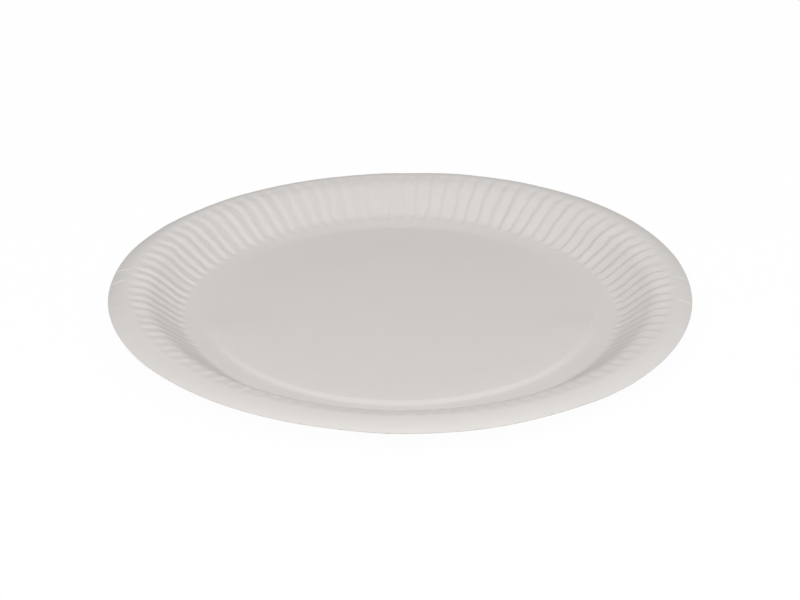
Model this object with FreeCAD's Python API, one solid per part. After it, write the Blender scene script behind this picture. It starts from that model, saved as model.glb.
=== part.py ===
import FreeCAD, Part

import math
import os

# A round paper plate, pressed from one disc of white paperboard.
# The origin is at the centre of the face it stands on, with +Z up through the middle of the plate.
# From the middle outwards it is a flat raised panel, a small round step down to the foot ring that
# the plate stands on, a sloping wall pleated into flutes, a crest, and a smooth lip that turns down.
# Sizes are those of the upper face. The lower face follows it one card further down.

# Driving dimensions, in millimetres and degrees.
card_thickness = 0.5
plate_radius = 115.0

# The lip, from the cut edge in to the crest.
lip_width = 7.2
lip_bend_radius = 10.0
lip_slope = 22.0
crest_flat_width = 0.4

# The wall, from the crest down to the foot ring.
rim_height = 12.3
wall_slope = 41.0
crest_bend_radius = 14.3
foot_bend_radius = 6.7
foot_ring_width = 8.0

# The flutes pressed into the wall. They lean one way round, like lapped pleats: going round from +X to
# +Y each rises slowly from its groove, over this share of the pitch, and then falls off short.
flute_count = 100
flute_depth = 0.9
ridge_place = 0.67

# Flat facets that stand for each bend of the pleated wall, and the share of their full depth that the
# flutes have at each corner, from the foot ring up the wall to the crest.
foot_facets = 2
crest_facets = 3
depth_shares = [0, 0.7, 1, 1, 1, 0.85, 0]

# The step from the foot ring up to the middle panel, each of its bends one flat facet.
panel_rise = 0.7
step_slope = 15.0
step_bend_radius = 3.0
step_facets = 1

# Heights of the upper face.
ring_height = card_thickness
panel_height = ring_height + panel_rise
crest_height = ring_height + rim_height

center = FreeCAD.Vector(0, 0, 0)
upright = FreeCAD.Vector(0, 0, 1)
flute_pitch = 360.0 / flute_count


def sine(slope):
    return math.sin(math.radians(slope))


def cosine(slope):
    return math.cos(math.radians(slope))


def straight_between(height, slope, bends):
    """Length of the straight run left between two bends whose radii add up to bends."""
    return (height - bends * (1 - cosine(slope))) / sine(slope)


def width_between(height, slope, bends):
    """Width of two bends and the straight run between them."""
    return bends * sine(slope) + straight_between(height, slope, bends) * cosine(slope)


# Radii where one form meets the next, from the cut edge inwards.
lip_start_radius = plate_radius - lip_width
crest_radius = lip_start_radius - crest_flat_width
wall_bends = foot_bend_radius + crest_bend_radius
foot_radius = crest_radius - width_between(rim_height, wall_slope, wall_bends)
ring_start_radius = foot_radius - foot_ring_width
step_bends = 2 * step_bend_radius
panel_radius = ring_start_radius - width_between(panel_rise, step_slope, step_bends)


class Section:
    """A line of arcs and straight runs in the X-Z plane that turns smoothly from one to the next."""

    def __init__(self, radius, height):
        self.end = FreeCAD.Vector(radius, 0, height)
        self.slope = 0.0
        self.edges = []
        self.corners = [self.end]
        self.slopes = [self.slope]

    def arc_points(self, bend_radius, new_slope, count):
        """This many points, evenly spaced, along the arc that turns to a new slope, and the slope at each."""
        side = math.copysign(bend_radius, new_slope - self.slope)
        heart = self.end + FreeCAD.Vector(-side * sine(self.slope), 0, side * cosine(self.slope))
        slopes = [self.slope + (new_slope - self.slope) * step / count for step in range(1, count + 1)]
        points = [heart + FreeCAD.Vector(side * sine(slope), 0, -side * cosine(slope)) for slope in slopes]
        return list(zip(points, slopes))

    def bend(self, bend_radius, new_slope):
        """Turn to a new slope along an arc of this radius."""
        (middle, _), (end, _) = self.arc_points(bend_radius, new_slope, 2)
        self.edges.append(Part.Arc(self.end, middle, end).toShape())
        self.reach(end, new_slope)

    def faceted_bend(self, bend_radius, new_slope, facets):
        """Turn along the same arc in this many flat facets, where many like faces would be too fine."""
        for end, slope in self.arc_points(bend_radius, new_slope, facets):
            self.edges.append(Part.LineSegment(self.end, end).toShape())
            self.reach(end, slope)

    def straight(self, length):
        """Go on along the present slope."""
        end = self.end + FreeCAD.Vector(length * cosine(self.slope), 0, length * sine(self.slope))
        self.edges.append(Part.LineSegment(self.end, end).toShape())
        self.reach(end, self.slope)

    def reach(self, end, slope):
        self.end = end
        self.slope = slope
        self.corners.append(end)
        self.slopes.append(slope)

    def revolved(self):
        """The faces that the section sweeps in one full turn."""
        return Part.Wire(self.edges).revolve(center, upright, 360).Faces


def step_section(drop):
    """The step from the panel down to the foot ring."""
    section = Section(panel_radius, panel_height - drop)
    section.faceted_bend(step_bend_radius - drop, -step_slope, step_facets)
    section.straight(straight_between(panel_rise, step_slope, step_bends))
    section.faceted_bend(step_bend_radius + drop, 0, step_facets)
    return section


def wall_section(drop):
    """The wall from foot ring to crest, half-way between the ridges and the grooves of its flutes."""
    section = Section(foot_radius, ring_height - drop)
    section.faceted_bend(foot_bend_radius + drop, wall_slope, foot_facets)
    section.straight(straight_between(rim_height, wall_slope, wall_bends))
    section.faceted_bend(crest_bend_radius - drop, 0, crest_facets)
    return section


def fold_line(section, fold, azimuth):
    """The section's corners at this azimuth, moved inwards along the wall's normal by shares of fold."""
    turn = FreeCAD.Rotation(upright, azimuth)
    line = []
    for corner, slope, share in zip(section.corners, section.slopes, depth_shares):
        inwards = FreeCAD.Vector(-sine(slope), 0, cosine(slope))
        line.append(turn.multVec(corner + inwards * fold * share))
    return line


def lip_section(drop):
    """The lip from the flat on the crest down to the cut edge."""
    run = (lip_width - lip_bend_radius * sine(lip_slope)) / cosine(lip_slope)
    section = Section(lip_start_radius, crest_height - drop)
    section.bend(lip_bend_radius - drop, -lip_slope)
    section.straight(run)
    return section


def flat_face(*corners):
    return Part.Face(Part.makePolygon(corners + corners[:1]))


def pleat_side(groove_line, ridge_line):
    """One side of a flute, from a groove line up to a ridge line, in pairs of flat triangles."""
    faces = []
    groove_runs = zip(groove_line, groove_line[1:])
    ridge_runs = zip(ridge_line, ridge_line[1:])
    for (groove_low, groove_high), (ridge_low, ridge_high) in zip(groove_runs, ridge_runs):
        faces.append(flat_face(groove_low, groove_high, ridge_high))
        faces.append(flat_face(groove_low, ridge_low, ridge_high))
    return faces


def fluted_faces(drop):
    """The pleated wall: each flute rises from a groove line to its ridge line and falls to the next."""
    section = wall_section(drop)
    half_depth = flute_depth / 2
    faces = []
    for flute in range(flute_count):
        groove_line = fold_line(section, -half_depth, flute * flute_pitch)
        ridge_line = fold_line(section, half_depth, (flute + ridge_place) * flute_pitch)
        next_groove_line = fold_line(section, -half_depth, (flute + 1) * flute_pitch)
        faces += pleat_side(groove_line, ridge_line)
        faces += pleat_side(next_groove_line, ridge_line)
    return faces


def circle_wire(radius, height):
    return Part.Wire([Part.makeCircle(radius, FreeCAD.Vector(0, 0, height), upright)])


def folded_wire(radius, height):
    """The closed line through the ends of all the groove and ridge lines at one radius."""
    corners = []
    for flute in range(flute_count):
        for place in (0, ridge_place):
            turn = (flute + place) * flute_pitch
            corners.append(FreeCAD.Vector(radius * cosine(turn), radius * sine(turn), height))
    return Part.makePolygon(corners + corners[:1])


def flat_ring(outer_wire, inner_wire):
    """The level face between two closed lines at one height."""
    return Part.makeFace([outer_wire, inner_wire], "Part::FaceMakerBullseye")


def pressed_face(drop):
    """One whole face of the card: the upper one with no drop, the lower one a card's thickness down."""
    ring_level = ring_height - drop
    crest_level = crest_height - drop
    panel = Part.Face(circle_wire(panel_radius, panel_height - drop))
    foot_ring = flat_ring(folded_wire(foot_radius, ring_level), circle_wire(ring_start_radius, ring_level))
    crest_ring = flat_ring(circle_wire(lip_start_radius, crest_level), folded_wire(crest_radius, crest_level))
    faces = [panel, foot_ring, crest_ring]
    faces += step_section(drop).revolved()
    faces += fluted_faces(drop)
    faces += lip_section(drop).revolved()
    return faces


def cut_edge():
    """The edge of the card, square to the lip."""
    rim = Part.LineSegment(lip_section(0).end, lip_section(card_thickness).end).toShape()
    return rim.revolve(center, upright, 360).Faces


def pressed_plate():
    """The plate as one closed solid of card."""
    faces = pressed_face(0) + pressed_face(card_thickness) + cut_edge()
    shell = Part.makeShell(faces)
    shell.sewShape()
    plate = Part.makeSolid(shell)
    if plate.Volume < 0:
        plate.reverse()
    return plate


os.makedirs("parts", exist_ok=True)
plate = pressed_plate()
print(f"plate: volume {plate.Volume:.0f} mm3, valid {plate.isValid()}, {len(plate.Faces)} faces")
plate.exportStep("parts/plate.step")
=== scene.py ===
"""The pressed paperboard plate, dressed for its picture.

The plate is one piece of card. Its upper and lower faces are laid out as smooth rings from a section
through the plate, and a Geometry Nodes tree then presses the pleats into the wall, with the small
unevenness that a real press leaves. Lengths are in metres and angles in radians unless a name says so.
"""

import logging
import math
from dataclasses import dataclass, field
from enum import Enum
from functools import partial
from typing import Mapping

import bpy
import numpy as np
from mathutils import Euler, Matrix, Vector


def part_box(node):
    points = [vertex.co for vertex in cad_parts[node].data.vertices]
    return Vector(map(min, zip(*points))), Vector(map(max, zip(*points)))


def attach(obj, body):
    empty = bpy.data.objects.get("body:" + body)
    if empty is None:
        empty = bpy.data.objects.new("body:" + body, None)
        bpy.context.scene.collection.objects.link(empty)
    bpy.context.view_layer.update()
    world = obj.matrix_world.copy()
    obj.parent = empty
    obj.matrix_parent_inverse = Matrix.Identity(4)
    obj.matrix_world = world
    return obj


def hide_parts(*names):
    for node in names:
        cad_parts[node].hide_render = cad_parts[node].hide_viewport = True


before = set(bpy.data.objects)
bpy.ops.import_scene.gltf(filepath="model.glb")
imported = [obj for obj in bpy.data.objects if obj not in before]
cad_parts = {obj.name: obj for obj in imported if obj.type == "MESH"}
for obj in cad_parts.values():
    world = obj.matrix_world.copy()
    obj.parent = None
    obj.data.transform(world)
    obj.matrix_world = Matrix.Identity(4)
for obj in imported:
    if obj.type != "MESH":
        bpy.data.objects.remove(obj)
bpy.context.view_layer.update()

MM = 0.001

log = logging.getLogger("paper_plate")


def linear(hex_colour: str) -> tuple[float, float, float, float]:
    """Turn an sRGB hex colour into the linear colour that a shader socket holds.

    Args:
        hex_colour: Six hex digits, with or without a leading hash.

    Returns:
        Red, green, blue and an alpha of one.
    """
    digits = hex_colour.lstrip("#")
    parts = [int(digits[start : start + 2], 16) / 255 for start in (0, 2, 4)]
    flat = [part / 12.92 if part <= 0.04045 else ((part + 0.055) / 1.055) ** 2.4 for part in parts]
    return (*flat, 1.0)


def smooth_step(share: float | np.ndarray) -> float | np.ndarray:
    """Ease from 0 to 1 as the share, or each of several, passes from 0 to 1."""
    share = np.clip(share, 0.0, 1.0)
    return share * share * (3 - 2 * share)


def around(values: tuple[float, ...], turns: np.ndarray) -> np.ndarray:
    """Ease from one of a row of even steps round the plate to the next.

    Args:
        values: The value at each step, from +X towards +Y.
        turns: The directions that are asked for.

    Returns:
        The value in each direction.
    """
    place = turns / (2 * math.pi) * len(values)
    before = np.floor(place).astype(int)
    ease = smooth_step(place - before)
    steps = np.array(values)
    return steps[before % len(steps)] * (1 - ease) + steps[(before + 1) % len(steps)] * ease


def add_object(name: str, data: bpy.types.ID) -> bpy.types.Object:
    """Put new data into the scene as an object."""
    added = bpy.data.objects.new(name, data)
    bpy.context.scene.collection.objects.link(added)
    return added


def empty_tree(owner: bpy.types.Material | bpy.types.World) -> bpy.types.NodeTree:
    """Give a new material or world a node tree with nothing in it."""
    owner.use_nodes = True
    owner.node_tree.nodes.clear()
    return owner.node_tree


def add_node(
    tree: bpy.types.NodeTree,
    kind: str,
    inputs: Mapping[str | int, object] | None = None,
    **settings: object,
) -> bpy.types.Node:
    """Add one node with its settings, and set or link its inputs.

    Args:
        tree: The tree that gets the node.
        kind: The node's type name.
        inputs: For each input, by its name or place, a value, an output socket, or a node whose first
            output in use is meant.
        settings: Values for the node's own settings, such as its operation.

    Returns:
        The new node.
    """
    node = tree.nodes.new(kind)
    for name, value in settings.items():
        setattr(node, name, value)
    for key, value in (inputs or {}).items():
        if isinstance(value, bpy.types.Node):
            value = next(socket for socket in value.outputs if socket.enabled)
        if isinstance(value, bpy.types.NodeSocket):
            tree.links.new(value, node.inputs[key])
        else:
            node.inputs[key].default_value = value
    return node


class Face(Enum):
    """The two faces of the card."""

    UPPER = 0
    LOWER = 1


@dataclass(frozen=True)
class Station:
    """One ring of the plate, given by its point in the section.

    Attributes:
        radius: Distance from the plate's axis.
        height: Height of the upper face.
        slope: Angle of the upper face, positive where it rises outwards.
    """

    radius: float
    height: float
    slope: float


@dataclass
class SectionLine:
    """A line of arcs and straight runs, from the middle of the plate outwards.

    Attributes:
        radius: Radius that the line has reached.
        height: Height that the line has reached.
        slope: Angle of the line there.
        stations: The rings passed so far.
    """

    radius: float = 0.0
    height: float = 0.0
    slope: float = 0.0
    stations: list[Station] = field(default_factory=list)

    def straight(self, length: float, rings: int) -> None:
        """Go on along the present slope.

        Args:
            length: Length of the run.
            rings: Number of rings along it.
        """
        for _ in range(rings):
            self.radius += length / rings * math.cos(self.slope)
            self.height += length / rings * math.sin(self.slope)
            self.stations.append(Station(self.radius, self.height, self.slope))

    def bend(self, bend_radius: float, slope: float, rings: int) -> None:
        """Turn to a new slope along an arc.

        Args:
            bend_radius: Radius of the arc.
            slope: The new slope.
            rings: Number of rings along the arc.
        """
        start_slope = self.slope
        side = math.copysign(bend_radius, slope - start_slope)
        heart_radius = self.radius - side * math.sin(start_slope)
        heart_height = self.height + side * math.cos(start_slope)
        for ring in range(1, rings + 1):
            self.slope = start_slope + (slope - start_slope) * ring / rings
            self.radius = heart_radius + side * math.sin(self.slope)
            self.height = heart_height - side * math.cos(self.slope)
            self.stations.append(Station(self.radius, self.height, self.slope))


@dataclass(frozen=True)
class Rings:
    """How many rings each part of the section gets."""

    panel: int
    step: int
    ring: int
    foot: int
    wall: int
    crest: int
    lip: int


@dataclass(frozen=True)
class PlateForm:
    """Sizes of the plate's section, from the cut edge inwards.

    Attributes:
        edge_radius: Radius of the cut edge.
        card: Thickness of the card.
        lip_width: Width of the lip, from the crest to the cut edge.
        lip_bend: Radius of the bend by which it turns down.
        lip_slope: Angle by which it turns down.
        crest_flat: Width of the level top between the lip's bend and the wall's.
        rim_height: Height of the crest over the foot ring.
        wall_slope: Angle of the wall.
        crest_bend: Radius of the bend between wall and crest.
        foot_bend: Radius of the bend between foot ring and wall.
        ring_width: Width of the foot ring.
        panel_rise: Height of the middle over the foot ring.
        step_slope: Angle of the step between them.
        step_bend: Radius of the step's two bends.
        pleat_start: Radius at which the flutes begin.
        ridge_start: Length over which a flute's ridge comes to its full height there.
        groove_start: Length over which its groove comes to its full depth.
        ridge_end: Length over which the flute dies out again before the crest.
        ring_loose: How free the card of the foot ring is to be uneven, as a share.
        crest_held: How much less free it is at the crest than in the wall.
    """

    edge_radius: float
    card: float = 0.5 * MM
    lip_width: float = 6.6 * MM
    lip_bend: float = 11.5 * MM
    lip_slope: float = math.radians(33)
    crest_flat: float = 0.4 * MM
    rim_height: float = 12.28 * MM
    wall_slope: float = math.radians(39.5)
    crest_bend: float = 16.0 * MM
    foot_bend: float = 5.0 * MM
    ring_width: float = 7.5 * MM
    panel_rise: float = 1.0 * MM
    step_slope: float = math.radians(24)
    step_bend: float = 1.8 * MM
    pleat_start: float = 85.3 * MM
    ridge_start: float = 2.2 * MM
    groove_start: float = 6.6 * MM
    ridge_end: float = 4.2 * MM
    ring_loose: float = 0.3
    crest_held: float = 0.4

    def run_between(self, height: float, slope: float, bends: float) -> float:
        """Length of the run that climbs a height with two bends, whose radii add up to bends."""
        return (height - bends * (1 - math.cos(slope))) / math.sin(slope)

    def width_between(self, height: float, slope: float, bends: float) -> float:
        """Width of that run together with its two bends."""
        return bends * math.sin(slope) + self.run_between(height, slope, bends) * math.cos(slope)

    @property
    def wall_run(self) -> float:
        """Length of the wall's straight run."""
        return self.run_between(self.rim_height, self.wall_slope, self.foot_bend + self.crest_bend)

    @property
    def step_run(self) -> float:
        """Length of the step's straight run."""
        return self.run_between(self.panel_rise, self.step_slope, 2 * self.step_bend)

    @property
    def lip_run(self) -> float:
        """Length of the lip's straight run."""
        return (self.lip_width - self.lip_bend * math.sin(self.lip_slope)) / math.cos(self.lip_slope)

    @property
    def crest_radius(self) -> float:
        """Radius of the crest, where the lip begins to turn down."""
        return self.edge_radius - self.lip_width

    @property
    def foot_radius(self) -> float:
        """Radius where the wall leaves the foot ring."""
        wall = self.width_between(self.rim_height, self.wall_slope, self.foot_bend + self.crest_bend)
        return self.crest_radius - self.crest_flat - wall

    @property
    def ring_radius(self) -> float:
        """Radius where the step meets the foot ring."""
        return self.foot_radius - self.ring_width

    @property
    def panel_radius(self) -> float:
        """Radius of the flat middle."""
        step = self.width_between(self.panel_rise, self.step_slope, 2 * self.step_bend)
        return self.ring_radius - step

    def stations(self, rings: Rings) -> list[Station]:
        """Lay out the rings of the upper face, from the rim of the flat middle to the cut edge.

        Args:
            rings: How many rings each part of the section gets.

        Returns:
            The rings in order.
        """
        line = SectionLine(radius=0.5 * self.panel_radius, height=self.card + self.panel_rise)
        line.straight(0.0, 1)
        line.straight(0.5 * self.panel_radius, rings.panel)
        line.bend(self.step_bend, -self.step_slope, rings.step)
        line.straight(self.step_run, 1)
        line.bend(self.step_bend, 0.0, rings.step)
        line.straight(self.ring_width, rings.ring)
        line.bend(self.foot_bend, self.wall_slope, rings.foot)
        line.straight(self.wall_run, rings.wall)
        line.bend(self.crest_bend, 0.0, rings.crest)
        line.straight(self.crest_flat, 1)
        line.bend(self.lip_bend, -self.lip_slope, rings.lip)
        line.straight(self.lip_run, 1)
        return line.stations

    def pleat_shares(self, radius: float) -> tuple[float, float]:
        """How far the pleats are pressed in at a radius.

        At the foot the ridges stand up from the ring at once while the grooves only deepen up the bend.
        At the crest the ridges come down to its level while the grooves are still deep.

        Args:
            radius: Distance from the plate's axis.

        Returns:
            How far ridge and groove lie apart, and how far the groove lies below the smooth wall,
            both as shares of the pleats' depth.
        """
        from_foot, to_crest = radius - self.pleat_start, self.crest_radius - radius
        start = smooth_step(from_foot / self.ridge_start)
        end = smooth_step(to_crest / self.ridge_end)
        # The smooth wall lies half-way between a ridge and a groove.
        if from_foot < to_crest:
            below = 0.5 * smooth_step(from_foot / self.groove_start)
        else:
            below = end - 0.5 * smooth_step(to_crest / (self.crest_bend * math.sin(self.wall_slope)))
        return start * end, below

    def looseness(self, radius: float, face: Face) -> float:
        """How free the card is to be uneven at a radius: not in the middle, and most in the wall.

        Args:
            radius: Distance from the plate's axis.
            face: The face of the card, of which the lower one stays flat where it stands on the table.

        Returns:
            The share of the full unevenness.
        """
        ring = 0.0 if radius < self.panel_radius or face is Face.LOWER else self.ring_loose
        wall = smooth_step((radius - self.pleat_start) / self.groove_start)
        crest = smooth_step((radius - self.crest_radius + self.ridge_end) / self.ridge_end)
        return ring + (1 - ring) * wall - self.crest_held * crest


@dataclass(frozen=True)
class Sag:
    """How the thin card has given since it was pressed, so that its sides aren't all alike.

    Attributes:
        rim_drops: How much lower the cut edge hangs with its whole rim, in millimetres, at even steps
            round the plate from +X towards +Y.
        lip_lifts: How much the lip alone has opened at the cut edge, at the same steps.
        crest_shifts: How much further in the crest stands, in millimetres, at twelve even steps.
        foot_shifts: How much further in the foot of the wall stands, at the same steps.
        foot_rises: How far up the foot of the wall has come, at the same steps.
        rim_curl: How much the drop gathers towards the cut edge, as an exponent.
        lip_curl: The same for the lip's opening.
        ring_curl: The same for the foot ring's rise, towards the foot of the wall.
        bulge: How much higher the middle of the plate stands than its rim.
        bulge_width: Width over which that bulge comes down.
        step_width: Width of the step at the back, where it has flattened into a gentle slope.
        flat_from: Sine of the direction at which the step begins to be flattened, 1 being the back.
        flat_blend: Span of that sine over which it becomes so.
        foot_fade: How much flatter the pleats are at the front, at the foot of the wall.
        crest_fade: How much flatter they are there at the crest.
        fade_from: Share of the way up the wall at which the one begins to pass into the other.
        front_from: Sine of the direction up to which that flatness reaches.
        front_blend: Span of that sine over which it grows towards the front.
    """

    rim_drops: tuple[float, ...] = (
        0.25, 0.0, 0.01, 0.0, 0.15, 0.55, 1.8, 2.13, 2.03, 1.4, 1.1, 0.52,
        0.39, 0.0, 0.04, 0.0, 0.0, 0.0, 0.41, 0.64, 0.7, 1.01, 0.84, 0.5,
    )
    lip_lifts: tuple[float, ...] = (
        0.15, 0.53, 0.74, 0.68, 0.28, 0.0, -0.09, -0.22, -0.26, -0.36, 0.33, 0.29,
        0.0, 0.19, 0.18, 0.6, 0.5, 0.35, 0.07, 0.05, 0.3, -0.02, -0.06, 0.02,
    )
    crest_shifts: tuple[float, ...] = (-0.3, -0.8, -1.0, -1.0, -1.0, -0.6, 0.2, 1.5, 2.0, 1.8, 0.9, 0.4)
    foot_shifts: tuple[float, ...] = (0.3, 0.8, 1.4, 1.6, 1.6, 0.8, 0.4, 2.2, 1.4, 0.0, 0.8, 1.0)
    foot_rises: tuple[float, ...] = (0.2, 0.4, 1.0, 1.4, 1.0, 0.4, 0.3, 0.8, 0.5, 0.0, 0.4, 0.7)
    rim_curl: float = 2.5
    lip_curl: float = 1.3
    ring_curl: float = 1.5
    bulge: float = 0.2 * MM
    bulge_width: float = 8.0 * MM
    step_width: float = 40.0 * MM
    flat_from: float = -0.3
    flat_blend: float = 0.35
    foot_fade: float = 0.9
    crest_fade: float = 0.15
    fade_from: float = 1 / 3
    front_from: float = 0.2
    front_blend: float = 0.9

    def shift(self, form: PlateForm, radius: float, turns: np.ndarray) -> np.ndarray:
        """How far the card from the foot ring outwards has moved inwards, in every direction.

        Args:
            form: Sizes of the plate.
            radius: Distance from the plate's axis.
            turns: The directions.

        Returns:
            The move in each direction.
        """
        foot, crest = form.foot_radius, form.crest_radius
        up_wall = (radius - foot) / (crest - foot)
        high = smooth_step(min(up_wall, (form.edge_radius - radius) / form.lip_width))
        # Inwards, the move of the foot dies out over twice the width of the foot ring.
        low = smooth_step(min(1 - up_wall, 1 + (radius - foot) / (2 * form.ring_width)))
        return (high * around(self.crest_shifts, turns) + low * around(self.foot_shifts, turns)) * MM

    def outer_lift(self, form: PlateForm, radius: float, turns: np.ndarray) -> np.ndarray:
        """How far the card from the foot ring outwards has moved up, in every direction.

        Args:
            form: Sizes of the plate.
            radius: Distance from the plate's axis.
            turns: The directions.

        Returns:
            The lift in each direction, negative where the rim hangs down.
        """
        inner, foot, crest = form.ring_radius, form.foot_radius, form.crest_radius
        if radius < foot:
            ring = max((radius - inner) / (foot - inner), 0.0) ** self.ring_curl
        else:
            ring = max((crest - radius) / (crest - foot), 0.0)
        outwards = (radius - form.pleat_start) / (form.edge_radius - form.pleat_start)
        rim = max(outwards, 0.0) ** self.rim_curl
        lip = max((radius - crest) / form.lip_width, 0.0) ** self.lip_curl
        opened = (lip * around(self.lip_lifts, turns) - rim * around(self.rim_drops, turns)) * MM
        return opened + ring * around(self.foot_rises, turns) * MM

    def panel_lift(self, form: PlateForm, station: Station, turns: np.ndarray) -> np.ndarray:
        """How far the middle has moved up from its pressed form, in every direction.

        Args:
            form: Sizes of the plate.
            station: The ring.
            turns: The directions.

        Returns:
            The lift in each direction, negative at the back where the step is flattened.
        """
        inside = (form.ring_radius - station.radius) / self.step_width
        if inside <= 0:
            return np.zeros_like(turns)
        outwards = (station.radius - form.panel_radius) / self.bulge_width + 1
        bulge = self.bulge * (1 - min(max(outwards, 0.0), 1.0) ** 2)
        soft = form.card + (form.panel_rise + self.bulge) * smooth_step(inside)
        flattened = smooth_step((np.sin(turns) - self.flat_from) / self.flat_blend)
        return (1 - flattened) * bulge + flattened * (soft - station.height)

    def lift(self, form: PlateForm, station: Station, turns: np.ndarray) -> np.ndarray:
        """How far the card has moved up from its pressed form at a ring, in every direction."""
        outer = self.outer_lift(form, station.radius, turns)
        return outer + self.panel_lift(form, station, turns)

    def pleat_share(self, form: PlateForm, radius: float, turns: np.ndarray) -> np.ndarray:
        """How deep the pleats have stayed at a radius, in every direction.

        Args:
            form: Sizes of the plate.
            radius: Distance from the plate's axis.
            turns: The directions.

        Returns:
            The share of the full depth in each direction.
        """
        up_wall = (radius - form.foot_radius) / (form.crest_radius - form.foot_radius)
        high = smooth_step((up_wall - self.fade_from) / (1 - self.fade_from))
        fade = self.foot_fade + (self.crest_fade - self.foot_fade) * high
        return 1 - fade * smooth_step((self.front_from - np.sin(turns)) / self.front_blend)


@dataclass(frozen=True)
class Pleats:
    """How the wall is pleated, and how unevenly.

    Attributes:
        count: Number of flutes round the plate.
        wall_radius: Radius half-way up the wall, where their width is taken.
        depth: Depth from ridge to groove.
        ridge_place: Share of the pitch over which a flute rises before it falls off short.
        place_spread: How far that differs from flute to flute.
        rounding: How round a flute is, from 0 for flat sides to 1 for a soft wave.
        sway: How far a flute wanders sideways, as a share of the pitch.
        depth_spread: How much shallower a flute may be, as a share of the depth.
        rumple: Height of the fine unevenness left in the pressed card.
        rumple_size: Size of that unevenness.
        seed: Seed of all the unevenness.
    """

    count: int = 100
    wall_radius: float = 95.0 * MM
    depth: float = 0.78 * MM
    ridge_place: float = 0.64
    place_spread: float = 0.16
    rounding: float = 0.6
    sway: float = 0.5
    depth_spread: float = 0.35
    rumple: float = 0.3 * MM
    rumple_size: float = 3.0 * MM
    seed: float = 4.0


@dataclass(frozen=True)
class Creases:
    """The creases that some pleats leave in the lip, as fine lines that run out to the cut edge,
    and a band of painted light that makes the crest and lip paler.

    Attributes:
        places: Direction in degrees and strength of each.
        start_radius: Radius at which they begin.
        fade: Length over which they come up.
        slant: How far round the plate one has leaned after slant_length, as an angle.
        slant_length: Length over which it leans that far.
        width: Half their width.
        height: How far the strongest stands up.
        crest_painted_light: How much paler the colour over the crest is drawn, at twelve even steps
            round the plate from +X towards +Y: painted light, paler at the back and sides than at
            the front.
        lip_painted_light: How much paler the lip is drawn, at the same steps, also painted light.
        painted_light_from: Radius at which the painted lighter band begins.
        lip_from: Radius at which the lip's share of it begins.
        blend: Width over which each comes up.
    """

    places: tuple[tuple[float, float], ...] = (
        (3.0, 0.9), (24.0, 0.3), (95.0, 0.4), (103.0, 0.4), (110.0, 0.4), (116.5, 0.5), (173.6, 1.0),
        (178.5, 0.9), (191.0, 0.25), (204.0, 0.2), (341.3, 0.4), (352.0, 0.8),
    )
    start_radius: float = 107.5 * MM
    fade: float = 3.0 * MM
    slant: float = math.radians(0.5)
    slant_length: float = 8.0 * MM
    width: float = 0.6 * MM
    height: float = 0.05 * MM
    # Painted light, by direction round the plate: how much paler the crest and lip are drawn.
    crest_painted_light: tuple[float, ...] = (
        0.16, 0.14, 0.1, 0.1, 0.1, 0.13, 0.16, 0.15, 0.08, 0.0, 0.03, 0.06,
    )
    lip_painted_light: tuple[float, ...] = (
        0.08, 0.0, 0.0, 0.0, 0.0, 0.0, 0.0, 0.08, 0.06, 0.0, 0.02, 0.07,
    )
    painted_light_from: float = 97.0 * MM
    lip_from: float = 106.0 * MM
    blend: float = 5.0 * MM

    def strength(self, radius: float, turns: np.ndarray) -> np.ndarray:
        """How strongly the lip is creased at a radius, with the painted lighter band over the crest and
        lip, in every direction.

        Args:
            radius: Distance from the plate's axis.
            turns: The directions.

        Returns:
            The strength in each direction, from 0 to 1.
        """
        strength = np.zeros_like(turns)
        outwards = radius - self.start_radius
        for number, (degrees, height) in enumerate(self.places):
            lean = self.slant * (1 if number % 2 else -1) * outwards / self.slant_length
            aside = (turns - math.radians(degrees) - lean + math.pi) % (2 * math.pi) - math.pi
            line = np.clip(1 - np.abs(aside) * radius / self.width, 0, 1)
            strength = np.maximum(strength, height * line)
        lip = smooth_step((radius - self.lip_from) / self.blend)
        # Painted light: the crest and lip are drawn paler all over, more at the back and sides than at
        # the front.
        painted_light = (1 - lip) * around(self.crest_painted_light, turns) + lip * around(self.lip_painted_light, turns)
        painted_light = painted_light * smooth_step((radius - self.painted_light_from) / self.blend)
        return np.maximum(strength * smooth_step(outwards / self.fade), painted_light)


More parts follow.
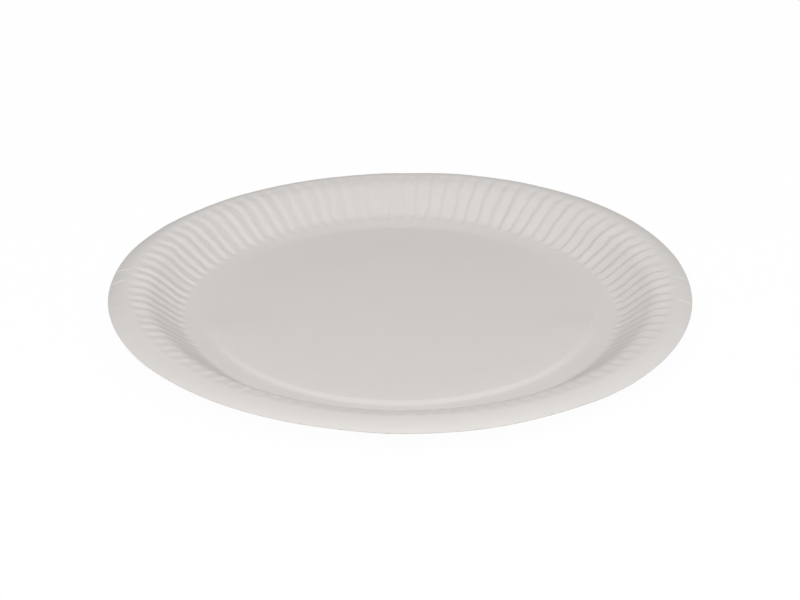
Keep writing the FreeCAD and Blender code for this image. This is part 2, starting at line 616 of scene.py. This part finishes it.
@dataclass(frozen=True)
class Paperboard:
    """White paperboard, pressed while damp.

    Attributes:
        tone: Colour of the board.
        shade: Colour of its slightly greyer patches.
        painted_highlight: Pale colour drawn along a crease and over the crest and lip: a painted
            highlight where they catch the light.
        painted_highlight_share: How much of that colour the strongest crease gets.
        edge: Colour of its cut edge, where the bare middle of the sheet shows.
        fleck: Colour of the flecks in the cut edge.
        fleck_size: Size of those flecks.
        fibre: Size of the fibres' clumps.
        cloud: Size of the patches in which the sheet is more or less dense.
        grain: Height of the fibres.
        welt: Height of the fine ridge along a crease, over that of the mesh.
    """

    tone: str = "#DAD6D3"
    shade: str = "#D5D0CB"
    painted_highlight: str = "#F4F2F0"
    painted_highlight_share: float = 0.9
    edge: str = "#D9D4CE"
    fleck: str = "#A8A39E"
    fleck_size: float = 2.0 * MM
    fibre: float = 0.6 * MM
    cloud: float = 12.0 * MM
    grain: float = 0.02 * MM
    welt: float = 0.08 * MM

    def face_material(self) -> bpy.types.Material:
        """Build the pressed face.

        Returns:
            The material.
        """
        # Uncoated paperboard: short matted fibres scatter the light, so it is soft, even and without
        # a highlight. The fibres are finer than the picture can show, so their clumps are drawn 0.6 mm
        # wide. A crease and the band over the crest and lip get a paler colour: painted highlight,
        # drawn where a crease's ridge and the crest catch the light.
        board = bpy.data.materials.new("white_paperboard")
        add = partial(add_node, empty_tree(board))
        place = add("ShaderNodeTexCoord").outputs["Object"]
        crease = add("ShaderNodeAttribute", attribute_name="crease").outputs["Fac"]
        fibres = add(
            "ShaderNodeTexNoise",
            {"Vector": place, "Scale": 1 / self.fibre, "Detail": 4.0, "Roughness": 0.6},
        )
        clouds = add(
            "ShaderNodeTexNoise",
            {"Vector": place, "Scale": 1 / self.cloud, "Detail": 3.0, "Roughness": 0.5},
        )
        mottle = add("ShaderNodeMath", {0: fibres, 1: clouds}, operation="MULTIPLY")
        colour = add(
            "ShaderNodeMix",
            {"Factor": mottle, "A": linear(self.tone), "B": linear(self.shade)},
            data_type="RGBA",
        )
        # Painted highlight: the crease lines and the crest and lip are mixed towards a paler colour.
        highlight_amount = add("ShaderNodeMath", {0: crease, 1: self.painted_highlight_share}, operation="MULTIPLY")
        highlighted = add(
            "ShaderNodeMix",
            {"Factor": highlight_amount, "A": colour.outputs["Result"], "B": linear(self.painted_highlight)},
            data_type="RGBA",
        )
        grain = add("ShaderNodeBump", {"Height": fibres, "Distance": self.grain, "Strength": 0.5})
        raised = add(
            "ShaderNodeBump",
            {"Height": crease, "Distance": self.welt, "Strength": 1.0, "Normal": grain},
        )
        surface = add(
            "ShaderNodeBsdfPrincipled",
            {
                "Base Color": highlighted.outputs["Result"],
                "Roughness": 0.75,
                "IOR": 1.45,
                "Specular IOR Level": 0.3,
                "Normal": raised,
            },
        )
        add("ShaderNodeOutputMaterial", {"Surface": surface})
        return board

    def edge_material(self) -> bpy.types.Material:
        """Build the cut edge.

        Returns:
            The material.
        """
        # Cut board: bare fibre ends, a little rougher and warmer than the face, in flecks of pale
        # and grey where the knife has torn or pressed them.
        edge = bpy.data.materials.new("cut_board_edge")
        add = partial(add_node, empty_tree(edge))
        place = add("ShaderNodeTexCoord").outputs["Object"]
        torn = add("ShaderNodeTexNoise", {"Vector": place, "Scale": 1 / self.fleck_size, "Detail": 3.0})
        in_fleck = add(
            "ShaderNodeMapRange",
            {"Value": torn, "From Min": 0.55, "From Max": 0.75},
            interpolation_type="SMOOTHSTEP",
        )
        colour = add(
            "ShaderNodeMix",
            {"Factor": in_fleck, "A": linear(self.edge), "B": linear(self.fleck)},
            data_type="RGBA",
        )
        surface = add(
            "ShaderNodeBsdfPrincipled",
            {"Base Color": colour.outputs["Result"], "Roughness": 0.9, "Specular IOR Level": 0.2},
        )
        add("ShaderNodeOutputMaterial", {"Surface": surface})
        return edge


class PleatTree:
    """Builds the Geometry Nodes tree that presses the pleats into a smooth wall.

    Attributes:
        NUMBERS: Each input that takes a number from Pleats, with that number's name there.
        ATTRIBUTES: Name and type of what the tree reads from the blank.
        SLOW_SCALE: Scale of a flute's slow wander, as a share of that of its quick one.
        SLOW_WEIGHT: Weight of the slow wander beside the quick one.
        MEAN_NOISE: Mean of a noise texture or a random draw.
        SWAY_SEED: Step from the seed to that of the quick wander.
        RUMPLE_SEED: Step from the seed to that of the fine unevenness.
        NEXT_DRAW: Step from a flute's first random draw to its second.
        WEAK_SIZE: Size of the stretches of wall in which the flutes came out shallower.
    """

    NUMBERS = {
        "Flute count": "count",
        "Wall radius": "wall_radius",
        "Flute depth": "depth",
        "Ridge place": "ridge_place",
        "Place spread": "place_spread",
        "Rounding": "rounding",
        "Sway": "sway",
        "Depth spread": "depth_spread",
        "Rumple height": "rumple",
        "Rumple size": "rumple_size",
        "Seed": "seed",
    }
    ATTRIBUTES = {
        **dict.fromkeys(("azimuth", "apart", "below", "loose", "crease"), "FLOAT"),
        **dict.fromkeys(("blank", "press"), "FLOAT_VECTOR"),
        "cut": "BOOLEAN",
    }
    SLOW_SCALE = 0.3
    SLOW_WEIGHT = 0.5
    MEAN_NOISE = 0.5
    SWAY_SEED = 7.0
    RUMPLE_SEED = 11.0
    NEXT_DRAW = 0.37
    WEAK_SIZE = 9 * MM

    def __init__(self) -> None:
        """Make the empty tree with its named inputs, and fill it."""
        self.tree = bpy.data.node_groups.new("press_pleats", "GeometryNodeTree")
        self.tree.interface.new_socket("Geometry", in_out="INPUT", socket_type="NodeSocketGeometry")
        self.identifiers: dict[str, str] = {}
        kinds = dict.fromkeys([*self.NUMBERS, "Crease height"], "NodeSocketFloat")
        kinds |= dict.fromkeys(["Board", "Cut edge"], "NodeSocketMaterial")
        for name, kind in kinds.items():
            socket = self.tree.interface.new_socket(name, in_out="INPUT", socket_type=kind)
            self.identifiers[name] = socket.identifier
        self.tree.interface.new_socket("Geometry", in_out="OUTPUT", socket_type="NodeSocketGeometry")
        self.add = partial(add_node, self.tree)
        self.give = self.add("NodeGroupInput").outputs
        self.read = {
            name: self.add("GeometryNodeInputNamedAttribute", {"Name": name}, data_type=kind)
            for name, kind in self.ATTRIBUTES.items()
        }
        self.finish(self.move(self.ridge(self.phase())))

    def phase(self) -> bpy.types.Node:
        """Count the flutes round the plate, and let each wander a little sideways.

        Returns:
            The node that gives the number of a point's flute, with its place across the flute as the
            fraction.
        """
        add, give, blank = self.add, self.give, self.read["blank"]
        pitch = add("ShaderNodeMath", {0: 2 * math.pi, 1: give["Flute count"]}, operation="DIVIDE")
        width = add("ShaderNodeMath", {0: pitch, 1: give["Wall radius"]}, operation="MULTIPLY")
        fine_scale = add("ShaderNodeMath", {0: 1.0, 1: width}, operation="DIVIDE")
        slow_scale = add("ShaderNodeMath", {0: fine_scale, 1: self.SLOW_SCALE}, operation="MULTIPLY")
        later_seed = add("ShaderNodeMath", {0: give["Seed"], 1: self.SWAY_SEED}, operation="ADD")
        slow = add(
            "ShaderNodeTexNoise",
            {"Vector": blank, "W": give["Seed"], "Scale": slow_scale, "Detail": 1.0},
            noise_dimensions="4D",
        )
        quick = add(
            "ShaderNodeTexNoise",
            {"Vector": blank, "W": later_seed, "Scale": fine_scale, "Detail": 2.0},
            noise_dimensions="4D",
        )
        both = add("ShaderNodeMath", {0: slow, 1: self.SLOW_WEIGHT, 2: quick}, operation="MULTIPLY_ADD")
        mean = (1 + self.SLOW_WEIGHT) * self.MEAN_NOISE
        level = add("ShaderNodeMath", {0: both, 1: mean}, operation="SUBTRACT")
        place = add("ShaderNodeMath", {0: self.read["azimuth"], 1: pitch}, operation="DIVIDE")
        return add("ShaderNodeMath", {0: level, 1: give["Sway"], 2: place}, operation="MULTIPLY_ADD")

    def ridge(self, phase: bpy.types.Node) -> bpy.types.Node:
        """Shape one flute after another, each a little different.

        Args:
            phase: The node that numbers the flutes.

        Returns:
            The node that gives the height within a flute, as a share of the pleats' depth.
        """
        add, give = self.add, self.give
        along = add("ShaderNodeMath", {0: phase}, operation="FRACT")
        whole = add("ShaderNodeMath", {0: phase}, operation="FLOOR")
        number = add("ShaderNodeMath", {0: whole, 1: give["Flute count"]}, operation="FLOORED_MODULO")
        first_draw = add("ShaderNodeMath", {0: number, 1: give["Seed"]}, operation="ADD")
        next_draw = add("ShaderNodeMath", {0: first_draw, 1: self.NEXT_DRAW}, operation="ADD")
        draw = add("ShaderNodeTexWhiteNoise", {"W": first_draw}, noise_dimensions="1D")
        other = add("ShaderNodeTexWhiteNoise", {"W": next_draw}, noise_dimensions="1D")

        aside = add("ShaderNodeMath", {0: other, 1: self.MEAN_NOISE}, operation="SUBTRACT")
        place = add(
            "ShaderNodeMath",
            {0: aside, 1: give["Place spread"], 2: give["Ridge place"]},
            operation="MULTIPLY_ADD",
        )
        rest = add("ShaderNodeMath", {0: 1.0, 1: place}, operation="SUBTRACT")
        left = add("ShaderNodeMath", {0: 1.0, 1: along}, operation="SUBTRACT")
        rise = add("ShaderNodeMath", {0: along, 1: place}, operation="DIVIDE")
        fall = add("ShaderNodeMath", {0: left, 1: rest}, operation="DIVIDE")
        flat_sided = add("ShaderNodeMath", {0: rise, 1: fall}, operation="MINIMUM")
        soft = add("ShaderNodeMapRange", {"Value": flat_sided}, interpolation_type="SMOOTHSTEP")
        wave = add("ShaderNodeMix", {"Factor": give["Rounding"], "A": flat_sided, "B": soft})

        blank, scale = self.read["blank"], 1 / self.WEAK_SIZE
        weak = add(
            "ShaderNodeTexNoise",
            {"Vector": blank, "W": give["Seed"], "Scale": scale, "Detail": 1.0},
            noise_dimensions="4D",
        )
        loss = add("ShaderNodeMath", {0: draw, 1: weak}, operation="ADD")
        spread = add("ShaderNodeMath", {0: loss, 1: give["Depth spread"]}, operation="MULTIPLY")
        tall = add("ShaderNodeMath", {0: 1.0, 1: spread}, operation="SUBTRACT")
        return add("ShaderNodeMath", {0: wave, 1: tall}, operation="MULTIPLY")

    def move(self, ridge: bpy.types.Node) -> bpy.types.Node:
        """Work out how far each point of the card is pressed.

        Args:
            ridge: The node that gives the height within a flute.

        Returns:
            The node that gives the move.
        """
        add, give, read = self.add, self.give, self.read
        risen = add("ShaderNodeMath", {0: ridge, 1: read["apart"]}, operation="MULTIPLY")
        height = add("ShaderNodeMath", {0: risen, 1: read["below"]}, operation="SUBTRACT")
        pleat = add("ShaderNodeMath", {0: height, 1: give["Flute depth"]}, operation="MULTIPLY")

        scale = add("ShaderNodeMath", {0: 1.0, 1: give["Rumple size"]}, operation="DIVIDE")
        seed = add("ShaderNodeMath", {0: give["Seed"], 1: self.RUMPLE_SEED}, operation="ADD")
        fine = add(
            "ShaderNodeTexNoise",
            {"Vector": read["blank"], "W": seed, "Scale": scale, "Detail": 3.0},
            noise_dimensions="4D",
        )
        share = add("ShaderNodeMath", {0: fine, 1: read["loose"]}, operation="MULTIPLY")
        rumple = add("ShaderNodeMath", {0: share, 1: give["Rumple height"]}, operation="MULTIPLY")
        lift = add("ShaderNodeMath", {0: pleat, 1: rumple}, operation="SUBTRACT")
        creased = add(
            "ShaderNodeMath",
            {0: read["crease"], 1: give["Crease height"], 2: lift},
            operation="MULTIPLY_ADD",
        )
        return add("ShaderNodeVectorMath", {0: read["press"], "Scale": creased}, operation="SCALE")

    def finish(self, move: bpy.types.Node) -> None:
        """Press the card, and give its faces and its cut edge their materials.

        Args:
            move: The node that gives each point's move.
        """
        add, give = self.add, self.give
        placed = add("GeometryNodeSetPosition", {"Geometry": give["Geometry"], "Offset": move})
        whole = add("GeometryNodeRealizeInstances", {"Geometry": placed})
        faced = add("GeometryNodeSetMaterial", {"Geometry": whole, "Material": give["Board"]})
        edged = add(
            "GeometryNodeSetMaterial",
            {"Geometry": faced, "Selection": self.read["cut"], "Material": give["Cut edge"]},
        )
        add("NodeGroupOutput", {"Geometry": edged})

    def press(
        self, blank: bpy.types.Object, pleats: Pleats, creases: Creases, finish: Paperboard
    ) -> bpy.types.Mesh:
        """Press the pleats into a blank and return the result as a plain mesh.

        Args:
            blank: The smooth plate.
            pleats: Sizes of the pleats.
            creases: The creases in the lip, and the painted lighter band over the crest and lip.
            finish: The board that the plate is pressed from.

        Returns:
            The pressed mesh.
        """
        modifier = blank.modifiers.new("press_pleats", "NODES")
        modifier.node_group = self.tree
        values = {name: float(getattr(pleats, number)) for name, number in self.NUMBERS.items()}
        values |= {
            "Crease height": creases.height,
            "Board": finish.face_material(),
            "Cut edge": finish.edge_material(),
        }
        for name, value in values.items():
            modifier[self.identifiers[name]] = value
        evaluated = blank.evaluated_get(bpy.context.evaluated_depsgraph_get())
        mesh = bpy.data.meshes.new_from_object(evaluated)
        blank.modifiers.remove(modifier)
        return mesh


@dataclass
class Plate:
    """The whole plate, one pressed piece of card.

    Attributes:
        form: Sizes of its section.
        sag: How it has given since it was pressed.
        pleats: Sizes of its pleats.
        creases: The creases in its lip, and the painted lighter band over its crest and lip.
        finish: The board that it is pressed from.
        columns_per_flute: Number of points across one flute.
        upper_rings: Fineness of the upper face.
        lower_rings: Fineness of the lower face.
        sharp_angle: Angle from which an edge is shaded as sharp, as those of the cut edge are.
    """

    form: PlateForm
    sag: Sag = field(default_factory=Sag)
    pleats: Pleats = field(default_factory=Pleats)
    creases: Creases = field(default_factory=Creases)
    finish: Paperboard = field(default_factory=Paperboard)
    columns_per_flute: int = 14
    upper_rings: Rings = Rings(panel=5, step=2, ring=4, foot=5, wall=9, crest=11, lip=5)
    lower_rings: Rings = Rings(panel=2, step=1, ring=1, foot=3, wall=4, crest=5, lip=2)
    sharp_angle: float = math.radians(50)

    def rings(self) -> list[tuple[Station, Face]]:
        """List each ring with its face, out along the upper one and back along the lower."""
        upper = self.form.stations(self.upper_rings)
        lower = self.form.stations(self.lower_rings)
        return [(ring, Face.UPPER) for ring in upper] + [(ring, Face.LOWER) for ring in reversed(lower)]

    def blank(self) -> bpy.types.Object:
        """Build the smooth plate, before its pleats are pressed in.

        Returns:
            An object whose mesh carries the attributes that the pleat tree reads.
        """
        columns = self.pleats.count * self.columns_per_flute
        turns = np.arange(columns) / columns * 2 * math.pi
        across = np.stack([np.cos(turns), np.sin(turns), np.zeros(columns)], axis=1)
        up = np.array([0.0, 0.0, 1.0])
        rings = self.rings()
        points: list[np.ndarray] = []
        names = [name for name in PleatTree.ATTRIBUTES if name != "cut"]
        values: dict[str, list[np.ndarray]] = {name: [] for name in names}
        for ring, face in rings:
            normal = -math.sin(ring.slope) * across + math.cos(ring.slope) * up
            drop = self.form.card if face is Face.LOWER else 0.0
            radii = ring.radius - self.sag.shift(self.form, ring.radius, turns)
            heights = ring.height + self.sag.lift(self.form, ring, turns)
            upper = radii[:, None] * across + heights[:, None] * up
            apart, below = self.form.pleat_shares(ring.radius)
            deep = self.sag.pleat_share(self.form, ring.radius, turns)
            points.append(upper - drop * normal)
            values["blank"].append(upper)
            values["press"].append(normal)
            values["azimuth"].append(turns)
            values["apart"].append(apart * deep)
            values["below"].append(below * deep)
            values["loose"].append(np.full(columns, self.form.looseness(ring.radius, face)))
            # Crease strength, together with the painted lighter band over the crest and lip.
            values["crease"].append(self.creases.strength(ring.radius, turns))
        top = self.form.card + self.form.panel_rise + self.sag.bulge
        centres = np.array([[0.0, 0.0, top], [0.0, 0.0, top - self.form.card]])
        faces = self.ring_faces(len(rings), columns)
        mesh = bpy.data.meshes.new("plate_blank")
        mesh.from_pydata(np.concatenate(points + [centres]).tolist(), [], faces)
        mesh.update()
        at_centres = {"blank": centres, "press": np.tile(up, (2, 1))}
        for name, by_ring in values.items():
            kind = PleatTree.ATTRIBUTES[name]
            whole = np.concatenate(by_ring + [at_centres.get(name, np.zeros(2))])
            key = "vector" if kind == "FLOAT_VECTOR" else "value"
            attribute = mesh.attributes.new(name, kind, "POINT")
            attribute.data.foreach_set(key, whole.astype(np.float32).ravel())
        cut = mesh.attributes.new("cut", "BOOLEAN", "FACE")
        first = (len(self.form.stations(self.upper_rings)) - 1) * columns
        cut.data.foreach_set("value", [first <= face < first + columns for face in range(len(faces))])
        mesh.shade_smooth()
        return add_object("plate_blank", mesh)

    @staticmethod
    def ring_faces(rings: int, columns: int) -> list[tuple[int, ...]]:
        """Join the rings into faces, with a fan at the middle of each side.

        Args:
            rings: Number of rings.
            columns: Number of points in each.

        Returns:
            The corners of each face, by number.
        """
        faces: list[tuple[int, ...]] = []
        nexts = [(column + 1) % columns for column in range(columns)]
        for ring in range(rings - 1):
            inner, outer = ring * columns, (ring + 1) * columns
            faces += [
                (inner + column, outer + column, outer + after, inner + after)
                for column, after in enumerate(nexts)
            ]
        upper_centre = rings * columns
        last = (rings - 1) * columns
        faces += [(upper_centre, column, after) for column, after in enumerate(nexts)]
        faces += [(upper_centre + 1, last + after, last + column) for column, after in enumerate(nexts)]
        return faces

    def build(self) -> bpy.types.Object:
        """Press the plate, dress it and put it in the CAD node's place.

        Returns:
            The finished piece.
        """
        blank = self.blank()
        mesh = PleatTree().press(blank, self.pleats, self.creases, self.finish)
        old_mesh = blank.data
        bpy.data.objects.remove(blank)
        bpy.data.meshes.remove(old_mesh)
        mesh.name = "pressed_plate"
        for name in PleatTree.ATTRIBUTES:
            # The board's material still reads the creases and the painted light over the crest and lip.
            if name != "crease":
                mesh.attributes.remove(mesh.attributes[name])
        mesh.set_sharp_from_angle(angle=self.sharp_angle)
        piece = add_object("pressed_plate", mesh)
        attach(piece, "root")
        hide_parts("plate")
        return piece


@dataclass(frozen=True)
class PhotoCamera:
    """The camera that took the photograph, as its outline and foot ring give it.

    Attributes:
        elevation: Height of the camera above the horizon, as an angle.
        distance: Distance from the middle of the plate.
        focal_pixels: Focal length in pixels of the 800 pixel wide frame.
        centre_pixel: Where the middle of the plate lies in that frame.
        frame_pixels: Width and height of that frame.
        sensor: Width of the sensor in millimetres.
        clip: Nearest and furthest distance that it sees.
    """

    elevation: float = math.radians(26.942)
    distance: float = 0.9149
    focal_pixels: float = 2300.0
    centre_pixel: tuple[float, float] = (400.06, 309.92)
    frame_pixels: tuple[float, float] = (800.0, 600.0)
    sensor: float = 36.0
    clip: tuple[float, float] = (0.01, 20.0)

    def build(self, middle: Vector) -> None:
        """Place the camera and make it the scene's own.

        Args:
            middle: The middle of the plate.
        """
        lens = bpy.data.cameras.new("photo_camera")
        lens.sensor_width = self.sensor
        lens.lens = self.focal_pixels * self.sensor / self.frame_pixels[0]
        lens.clip_start, lens.clip_end = self.clip
        camera = add_object("photo_camera", lens)
        back = Vector((0.0, -math.cos(self.elevation), math.sin(self.elevation)))
        camera.location = middle + back * self.distance
        right = (self.centre_pixel[0] - self.frame_pixels[0] / 2) / self.focal_pixels
        down = (self.centre_pixel[1] - self.frame_pixels[1] / 2) / self.focal_pixels
        aim = (-back).to_track_quat("-Z", "Y")
        aim = aim @ Euler((math.atan(down), math.atan(right), 0.0)).to_quaternion()
        camera.rotation_mode = "QUATERNION"
        camera.rotation_quaternion = aim
        bpy.context.scene.camera = camera


@dataclass(frozen=True)
class SoftBox:
    """One large soft light.

    Attributes:
        name: Its name.
        azimuth: Direction that it stands in, counted from +X towards +Y.
        elevation: Its height above the horizon, as an angle.
        distance: Its distance from the plate.
        size: Width of its face.
        power: Its power in watts.
    """

    name: str
    azimuth: float
    elevation: float
    distance: float
    size: float
    power: float

    def build(self) -> None:
        """Place the light, facing the plate."""
        lamp = bpy.data.lights.new(self.name, "AREA")
        lamp.shape = "DISK"
        lamp.size = self.size
        lamp.energy = self.power
        light = add_object(self.name, lamp)
        level = math.cos(self.elevation)
        out = Vector((
            level * math.cos(self.azimuth),
            level * math.sin(self.azimuth),
            math.sin(self.elevation),
        ))
        light.location = out * self.distance
        light.rotation_mode = "QUATERNION"
        light.rotation_quaternion = out.to_track_quat("Z", "Y")


@dataclass(frozen=True)
class Studio:
    """A plain white table in a softly lit room.

    Attributes:
        table: Width of the table top.
        table_gap: How far it lies below the plate's foot.
        white: Colour of the table top and the room.
        glow: How much of the table top's look is plain white, so that only a soft shadow is left.
        lamps: The soft lamps.
        fill: Brightness of the room.
    """

    table: float = 6.0
    table_gap: float = 0.02 * MM
    white: str = "#FFFFFF"
    glow: float = 0.97
    lamps: tuple[SoftBox, ...] = (
        SoftBox("left_softbox", math.radians(257), math.radians(45), 1.2, 0.6, 7.5),
        SoftBox("right_softbox", math.radians(330), math.radians(42), 1.2, 0.6, 2.3),
    )
    fill: float = 0.435

    def build(self) -> None:
        """Lay the table, light the room and set up the lamps."""
        self.lay_table()
        self.light_room()
        for lamp in self.lamps:
            lamp.build()

    def lay_table(self) -> None:
        """Lay the pale table top that the plate stands on."""
        half = self.table / 2
        mesh = bpy.data.meshes.new("table_top")
        low = -self.table_gap
        corners = [(-half, -half, low), (half, -half, low), (half, half, low), (-half, half, low)]
        mesh.from_pydata(corners, [], [(0, 1, 2, 3)])
        table = add_object("table_top", mesh)
        mesh.materials.append(self.table_material())

    def table_material(self) -> bpy.types.Material:
        """Build a matte white table top that the camera sees as white, with the plate's soft shadow.

        Returns:
            The material.
        """
        top = bpy.data.materials.new("white_table_top")
        add = partial(add_node, empty_tree(top))
        ray = add("ShaderNodeLightPath")
        seen = add(
            "ShaderNodeMath",
            {0: ray.outputs["Is Camera Ray"], 1: ray.outputs["Is Glossy Ray"]},
            operation="MAXIMUM",
        )
        share = add("ShaderNodeMath", {0: seen, 1: self.glow}, operation="MULTIPLY")
        matte = add("ShaderNodeBsdfDiffuse", {"Color": linear(self.white)})
        glow = add("ShaderNodeEmission", {"Color": linear(self.white), "Strength": 1.0})
        mixed = add("ShaderNodeMixShader", {0: share, 1: matte, 2: glow})
        add("ShaderNodeOutputMaterial", {"Surface": mixed})
        return top

    def light_room(self) -> None:
        """Light the room evenly, and show it as white where the camera looks past the table."""
        world = bpy.data.worlds.new("studio_room")
        bpy.context.scene.world = world
        add = partial(add_node, empty_tree(world))
        ray = add("ShaderNodeLightPath")
        room = add("ShaderNodeBackground", {"Color": linear(self.white), "Strength": self.fill})
        shown = add("ShaderNodeBackground", {"Color": linear(self.white), "Strength": 1.0})
        mixed = add("ShaderNodeMixShader", {0: ray.outputs["Is Camera Ray"], 1: room, 2: shown})
        add("ShaderNodeOutputWorld", {"Surface": mixed})


def main() -> None:
    """Build the plate, the studio and the camera."""
    logging.basicConfig(level=logging.INFO, format="%(name)s %(message)s")
    low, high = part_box("plate")
    form = PlateForm(edge_radius=(high[0] - low[0]) / 2)
    plate = Plate(form).build()
    plate.data.calc_loop_triangles()
    log.info("%s: %d triangles", plate.name, len(plate.data.loop_triangles))
    Studio().build()
    PhotoCamera().build(Vector((0.0, 0.0, form.card)))
    bpy.context.scene.view_settings.view_transform = "Standard"


if __name__ == "__main__":
    main()
